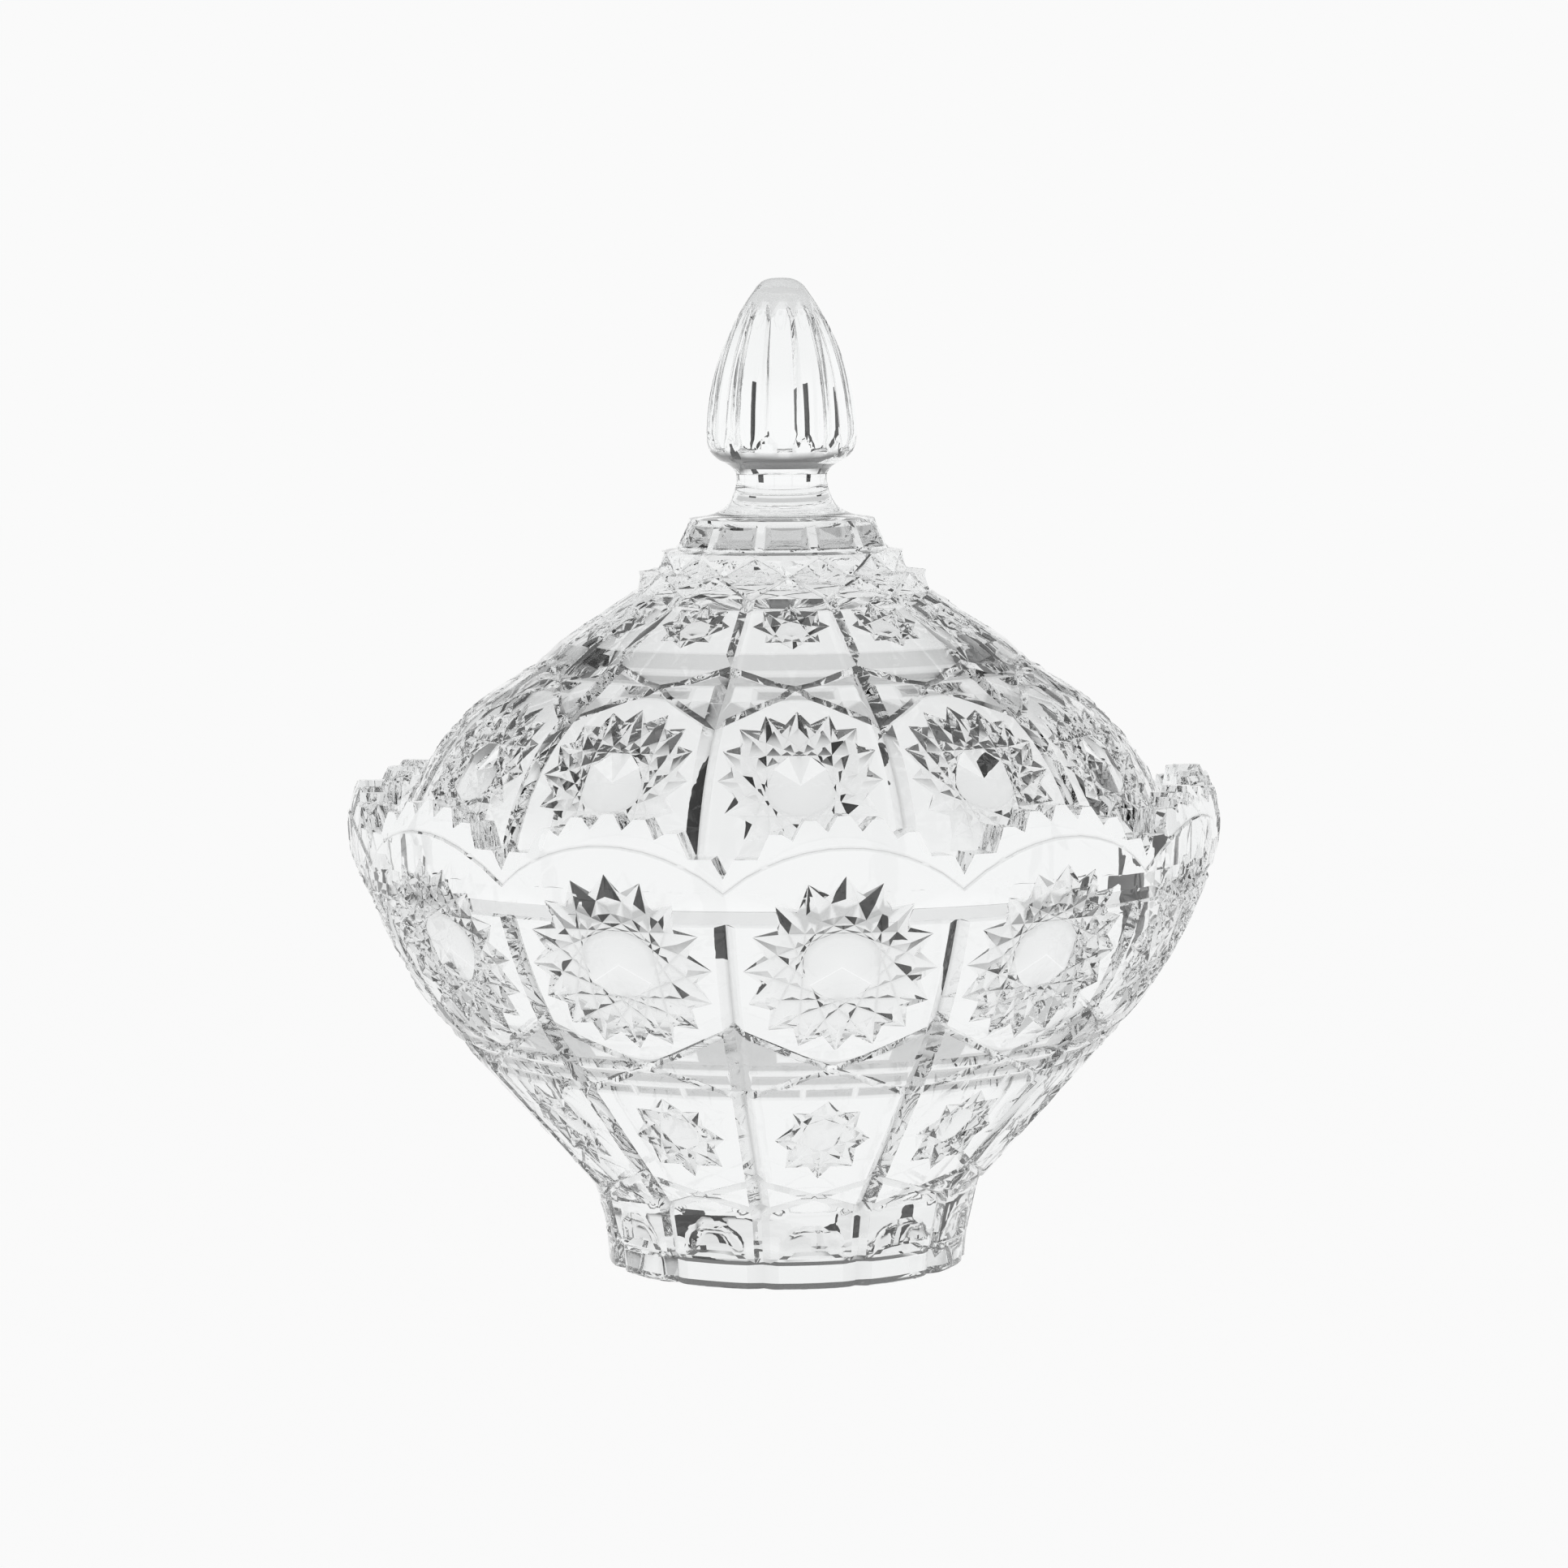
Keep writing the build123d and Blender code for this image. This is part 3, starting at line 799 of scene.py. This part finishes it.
def buildLid():
    form = lidForm
    at = {name: lengthAt(form, lidLook[name][1]) for name in lidCorners}
    big, small = layStar(form, bigLidStar), layStar(form, smallLidStar)
    plain = offStars((big, small))
    sheet = blankSheet("lidGlass", form)
    for name in lidCorners:
        if name != "domeTop":
            scoreRow(at[name], everywhere)
    scoreStar(big, lambda x, y: at["edgeTop"] < y < at["bandTop"])
    scoreStar(small, lambda x, y: at["shoulder"] < y < at["coneTop"])

    # band of ridges with lines crossing it, and fans of fine cuts on the steps
    ridges = [lengthAt(form, height) for height in lidLook["ridges"]]
    bandHub = Vector((0, lengthAt(form, lidLook["hub"])))
    bandEnd = Vector((halfSheet, lengthAt(form, lidLook["crossFoot"])))
    bandHead = Vector((halfSheet, at["bandTop"]))
    cuts = ridgeCuts(form, ridges, lidLook["ridge"])
    cuts.append(layCut(form, bandHub, bandEnd, lidLook["crossDown"], over=True))
    cuts.append(layCut(form, bandHub, bandHead, lidLook["crossUp"], over=True))
    for hub, row, across, look in (("lowerStep", "coneTop", halfSheet, "fan"),
                                   ("tread", "upperStep", halfSheet, "fan"),
                                   ("tread", "upperStep", 0, "fanMiddle")):
        cuts.append(layCut(form, Vector((0, at[hub])), Vector((across, at[row])), lidLook[look], over=True))
    scoreCuts(cuts, lidLook["cutMargin"], plain)

    # rows that carry the curve, and rib edges between them
    rows = [at["edgeTop"], *(lengthAt(form, height) for height in lidLook["domeRows"]), at["bandTop"],
            at["shoulder"], *(lengthAt(form, height) for height in lidLook["coneRows"]), at["coneTop"]]
    for row in rows:
        scoreRow(row, plain)
    for low, high in zip(rows, rows[1:]):
        if high < at["bandTop"] + hair:
            scoreRibEdge(form, low, high, lidLook["ribHalf"], plain)
        elif low > at["shoulder"] - hair:
            scoreRibEdge(form, low, high, lidLook["smallRibHalf"], plain)
    for share in lidLook["columns"]:
        scoreColumn(share * halfSheet, lambda x, y: y < at["coneTop"] and plain(x, y))

    # collar blocks
    low, high = lengthAt(form, blockLook["low"]), lengthAt(form, blockLook["high"])
    middle, half, slope = (low + high) / 2, halfSheet * blockLook["width"], blockLook["slope"]
    for row in (low, low + slope, middle, high - slope, high):
        scoreRow(row, lambda x, y: y > at["collar"])
    for edge in (half, half - slope * sheetRadius / blockLook["radius"]):
        scoreColumn(edge, lambda x, y: y > at["collar"])
    for k in range(1, blockLook["columns"]):
        scoreColumn(halfSheet * k / blockLook["columns"], lambda x, y: y > at["upperStep"])
    mirrorSheet(sheet)
    pointCells((big, small))

    def depthAt(x, y):
        x = abs(x)
        inStar = depthInStars((big, small), x, y)
        if inStar is not None:
            return inStar
        fromRib = (halfSheet - x) * onForm(form, y)[0].x / sheetRadius
        depths = [0.0, deepestCut(cuts, False, x, y)]
        if at["edgeTop"] <= y <= at["bandTop"]:
            depths.append(lidLook["ribDepth"] * (1 - fromRib / lidLook["ribHalf"]))
        if at["shoulder"] <= y <= at["upperStep"]:
            depths.append(lidLook["smallRibDepth"] * (1 - fromRib / lidLook["smallRibHalf"]))
        if low < y < high and x < half:
            sideways = (half - x) * blockLook["radius"] / sheetRadius
            dish = blockLook["edgeDepth"] + blockLook["dish"] * (1 - abs(y - middle) / (high - middle))
            depths.append(min(dish, sideways, y - low, high - y))
        return max(depths) + deepestCut(cuts, True, x, y)

    # painted shade of the glass colour at a point of the sheet: none in the lens, grey band cells, dark
    # corners, grey steps between light cuts and dark collar blocks
    def paintedShadeAt(x, y, depth):
        if toFlat(big, x, y).length < big["core"] * paintedShades["lensShare"]:
            return 0.0
        if at["domeTop"] < y < at["bandTop"] and plain(x, y):
            if deepestCut(cuts, True, abs(x), y) > paintedShades["overLine"]:
                return 0.0
            return max(depth * paintedShades["band"], paintedShades["plain"])
        if inCorner(bandHub, bandEnd, ridges[0], abs(x), y) and plain(x, y):
            return paintedShades["corner"]
        if at["bandTop"] - hair < y < at["shoulder"] + hair:
            return paintedShades["step"]
        if at["coneTop"] < y < at["upperStep"]:
            return max(0.0, paintedShades["step"] - depth * paintedShades["stepCut"])
        # painted shade darkens the collar blocks
        if low < y < high and depth > 0.05:
            return blockLook["shade"]
        return max(depth, paintedShades["plain"])

    wrapSheet(sheet, form, depthAt, paintedShadeAt)
    ringOfPanels(sheet)
    # neck and fluted knob
    pickRim(top=True)
    pullAlong(makeForm(*knobLook["neck"]), knobLook["neckSteps"], range(1, knobLook["neckSteps"] + 1))
    side = makeForm(*knobLook["side"])
    for step in range(1, knobLook["steps"] + 1):
        point = onForm(side, side["lengths"][-1] * step / knobLook["steps"])[0]
        # painted shade greys the smooth cap of the knob above the flutes
        pullRim(radius=fluted(point.x, point.y), height=point.y,
                shade=lambda turn: max(0.0, capShare(turn, point.y) * knobLook["capPaintedShade"]))
    closeRim()
    # seat, lip and ceiling
    pickRim(top=False)
    pullTo(lidLook["lip"])
    pullAlong(makeForm(*lidLook["ceiling"]), lidLook["ceilingSteps"], range(1, lidLook["ceilingSteps"] + 1))
    pullTo(lidLook["crown"])
    closeRim()
    finishGlass(sheet)
    sheet.data.transform(Matrix.Rotation(math.radians(lidLook["turn"]), 4, "Z"))
    return sheet


# glass
def clearGlass(name, look):
    material = bpy.data.materials.new(name)
    material.use_nodes = True
    nodes, links = material.node_tree.nodes, material.node_tree.links
    shader = nodes["Principled BSDF"]
    shader.inputs["Transmission Weight"].default_value = 1.0
    shader.inputs["IOR"].default_value = look["ior"]
    shader.inputs["Roughness"].default_value = look["roughness"]
    # painted shade: the glass colour is greyed by the painted shade of the mesh, a little on the pressed
    # face, more in the cuts and most along their floor, standing in for the darker light seen through cut
    # glass
    cut = nodes.new("ShaderNodeAttribute")
    cut.attribute_name = "paintedShade"
    share = nodes.new("ShaderNodeMath")
    share.operation = "DIVIDE"
    share.inputs[1].default_value = look["deepest"]
    grey = nodes.new("ShaderNodeValToRGB")
    grey.color_ramp.elements.remove(grey.color_ramp.elements[1])
    for position, value in look["paintedShadeGreys"]:
        stop = grey.color_ramp.elements.new(position) if position else grey.color_ramp.elements[0]
        stop.color = (value * 0.99, value, value, 1)
    links.new(cut.outputs["Fac"], share.inputs[0])
    links.new(share.outputs[0], grey.inputs["Fac"])
    links.new(grey.outputs["Color"], shader.inputs["Base Color"])
    # fire-polished skin
    place = nodes.new("ShaderNodeTexCoord")
    ripple = nodes.new("ShaderNodeTexNoise")
    ripple.inputs["Scale"].default_value = look["rippleScale"]
    ripple.inputs["Detail"].default_value = 2.0
    bump = nodes.new("ShaderNodeBump")
    bump.inputs["Strength"].default_value = look["rippleStrength"]
    bump.inputs["Distance"].default_value = look["rippleHeight"]
    links.new(place.outputs["Object"], ripple.inputs["Vector"])
    links.new(ripple.outputs["Fac"], bump.inputs["Height"])
    links.new(bump.outputs["Normal"], shader.inputs["Normal"])
    # light that has come through one wall goes straight through the others, so the near cuts read clearly
    clear = nodes.new("ShaderNodeBsdfTransparent")
    path = nodes.new("ShaderNodeLightPath")
    farWall = nodes.new("ShaderNodeMath")
    farWall.operation = "GREATER_THAN"
    farWall.inputs[1].default_value = 1.5
    blend = nodes.new("ShaderNodeMixShader")
    links.new(path.outputs["Transmission Depth"], farWall.inputs[0])
    links.new(farWall.outputs[0], blend.inputs[0])
    links.new(shader.outputs[0], blend.inputs[1])
    links.new(clear.outputs[0], blend.inputs[2])
    links.new(blend.outputs[0], nodes["Material Output"].inputs["Surface"])
    return material


# the last greys are the glass colour for each share of the painted shade, from none to the deepest cut
glassLook = {"ior": 1.52, "roughness": 0.0, "rippleScale": 260.0, "rippleStrength": 0.12,
             "rippleHeight": 0.00012, "deepest": 1.3,
             "paintedShadeGreys": ((0.0, 1.0), (0.03, 0.84), (0.7, 0.76), (1.0, 0.42))}

bowl = buildBowl()
lid = buildLid()
glass = clearGlass("pressedGlass", glassLook)
for piece, node in ((bowl, "bowl"), (lid, "lid")):
    piece.data.materials.clear()
    piece.data.materials.append(glass)
    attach(piece, node)
    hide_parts(node)
print("glass built")

# floor, light and camera
studio = {
    "floorSize": 6.0, "floorGap": 0.0002, "floorBase": 0.1, "floorGlow": 0.932,
    "white": 0.956, "roof": 0.14, "roofStart": 0.25, "roofFull": 0.45,
    "flagCount": 8, "flagTurn": 26.25, "flagReach": 0.6, "flagWidth": 0.06, "flagHeight": 0.5,
    "flagGrey": 0.02,
}


def greyColor(value):
    return (value, value, value, 1)


bpy.ops.mesh.primitive_plane_add(size=studio["floorSize"], location=(0, 0, -studio["floorGap"]))
floor = bpy.context.object
floor.name = "studioFloor"
floorPaint = bpy.data.materials.new("palePaper")
floorPaint.use_nodes = True
floorShader = floorPaint.node_tree.nodes["Principled BSDF"]
floorShader.inputs["Base Color"].default_value = greyColor(studio["floorBase"])
floorShader.inputs["Emission Color"].default_value = greyColor(1)
floorShader.inputs["Emission Strength"].default_value = studio["floorGlow"]
floorShader.inputs["Roughness"].default_value = 0.9
floorShader.inputs["Specular IOR Level"].default_value = 0.0
floor.data.materials.append(floorPaint)

# dark flags stand round the jar, out of the camera's sight, so that steep cuts have something to catch
flagPaint = bpy.data.materials.new("flagCloth")
flagPaint.use_nodes = True
flagShader = flagPaint.node_tree.nodes["Principled BSDF"]
flagShader.inputs["Base Color"].default_value = greyColor(studio["flagGrey"])
for k in range(studio["flagCount"]):
    flagAngle = math.radians(90 - studio["flagTurn"] - k * 360 / studio["flagCount"])
    flagPlace = (studio["flagReach"] * math.cos(flagAngle), studio["flagReach"] * math.sin(flagAngle),
                 studio["flagHeight"] / 2)
    bpy.ops.mesh.primitive_plane_add(size=1, location=flagPlace,
                                     rotation=(math.pi / 2, 0, flagAngle - math.pi / 2))
    flag = bpy.context.object
    flag.name = f"flag{k}"
    flag.scale = (studio["flagWidth"], studio["flagHeight"], 1)
    flag.data.materials.append(flagPaint)
    flag.visible_camera = False
    flag.visible_diffuse = False

# white room with a dark roof
world = bpy.data.worlds.new("whiteRoom")
bpy.context.scene.world = world
world.use_nodes = True
roomNodes, roomLinks = world.node_tree.nodes, world.node_tree.links
background = roomNodes["Background"]
direction = roomNodes.new("ShaderNodeTexCoord")
height = roomNodes.new("ShaderNodeSeparateXYZ")
shade = roomNodes.new("ShaderNodeValToRGB")
shade.color_ramp.elements[0].position = studio["roofStart"]
shade.color_ramp.elements[0].color = greyColor(studio["white"])
shade.color_ramp.elements[1].position = studio["roofFull"]
shade.color_ramp.elements[1].color = greyColor(studio["roof"])
roomLinks.new(direction.outputs["Generated"], height.inputs[0])
roomLinks.new(height.outputs["Z"], shade.inputs["Fac"])
roomLinks.new(shade.outputs["Color"], background.inputs["Color"])
background.inputs["Strength"].default_value = 1.0

# lens and sensor in millimetres, clipping in metres, angles in degrees
cameraLook = {"lens": 111.2, "sensor": 36, "distance": 830.0, "height": 165.0, "aside": 0.05,
              "turn": -7.5, "pitch": 5.7, "roll": -0.39, "clip": (0.01, 20)}
cameraData = bpy.data.cameras.new("studioCamera")
cameraData.lens = cameraLook["lens"]
cameraData.sensor_width = cameraLook["sensor"]
cameraData.clip_start, cameraData.clip_end = cameraLook["clip"]
camera = bpy.data.objects.new("studioCamera", cameraData)
bpy.context.collection.objects.link(camera)
around = Matrix.Rotation(math.radians(cameraLook["turn"]), 3, "Z")
camera.location = around @ Vector((cameraLook["aside"], -cameraLook["distance"], cameraLook["height"])) * mm
camera.rotation_euler = (around @ Matrix.Rotation(math.radians(90 - cameraLook["pitch"]), 3, "X")
                         @ Matrix.Rotation(math.radians(cameraLook["roll"]), 3, "Z")).to_euler()
bpy.context.scene.camera = camera

scene = bpy.context.scene
scene.view_settings.view_transform = "Standard"
scene.cycles.max_bounces = 24
scene.cycles.transmission_bounces = 24
scene.cycles.glossy_bounces = 12
print("studio set")
